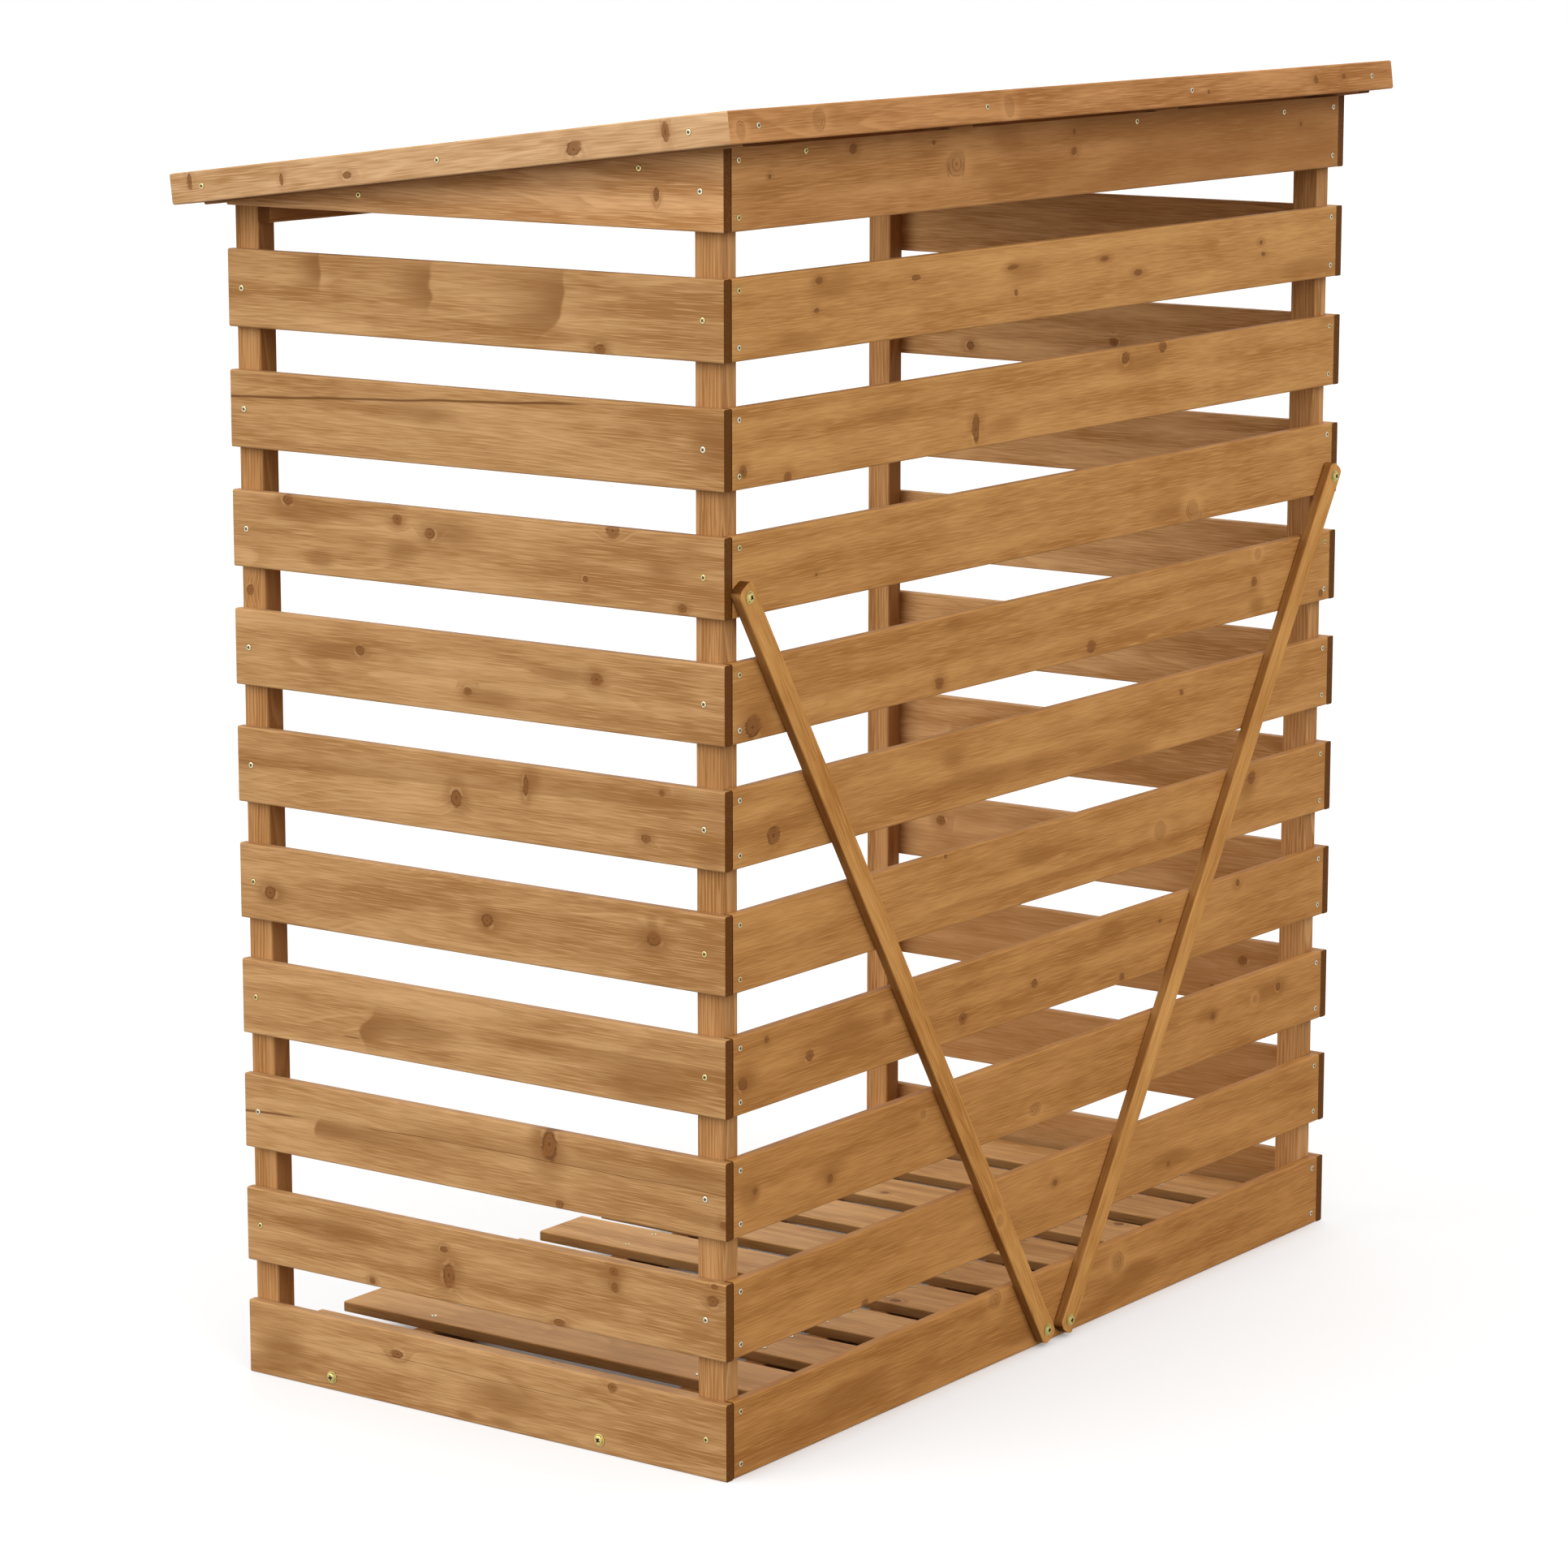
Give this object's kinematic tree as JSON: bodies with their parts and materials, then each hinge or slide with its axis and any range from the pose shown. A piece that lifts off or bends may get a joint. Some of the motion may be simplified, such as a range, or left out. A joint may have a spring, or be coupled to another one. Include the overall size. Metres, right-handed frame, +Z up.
{
  "type": "log store",
  "caption": "Slatted timber log store with a lean-to roof, open front, tapered side boards, a V brace on the back and a raised slat floor.",
  "frame": {"origin": "on the ground, under the middle of the roof", "axes": "+X to the right seen from the open front, +Y from the open front to the back wall, +Z up"},
  "size_m": [1.51, 0.8434, 1.6162],
  "materials": {
    "post_wood": "honey-brown stained softwood, satin",
    "side_wood": "honey-brown stained softwood, satin",
    "back_wood": "honey-brown stained softwood, satin",
    "brace_wood": "honey-brown stained softwood, satin",
    "floor_wood": "honey-brown stained softwood, satin",
    "bearer_wood": "honey-brown stained softwood, satin",
    "fascia_wood": "honey-brown stained softwood, satin",
    "roof_wood": "honey-brown stained softwood, satin"
  },
  "bodies": {
    "root": {"right_front_post": "post_wood", "right_back_post": "post_wood", "left_front_post": "post_wood", "left_back_post": "post_wood", "front_rail": "post_wood", "right_side_slats": "side_wood", "left_side_slats": "side_wood", "right_top_board": "side_wood", "left_top_board": "side_wood", "back_slat_1": "back_wood", "back_slat_2": "back_wood", "back_slat_3": "back_wood", "back_slat_4": "back_wood", "back_slat_5": "back_wood", "back_slat_6": "back_wood", "back_slat_7": "back_wood", "back_slat_8": "back_wood", "back_slat_9": "back_wood", "back_slat_10": "back_wood", "back_slat_11": "back_wood", "right_brace": "brace_wood", "left_brace": "brace_wood", "floor_slats": "floor_wood", "front_bearer": "bearer_wood", "back_bearer": "bearer_wood", "right_end_rafter": "bearer_wood", "right_mid_rafter": "bearer_wood", "left_mid_rafter": "bearer_wood", "left_end_rafter": "bearer_wood", "front_fascia": "fascia_wood", "back_fascia": "fascia_wood", "right_fascia": "fascia_wood", "left_fascia": "fascia_wood", "roof_board_1": "roof_wood", "roof_board_2": "roof_wood", "roof_board_3": "roof_wood", "roof_board_4": "roof_wood", "roof_board_5": "roof_wood", "roof_board_6": "roof_wood"}
  },
  "joints": []
}
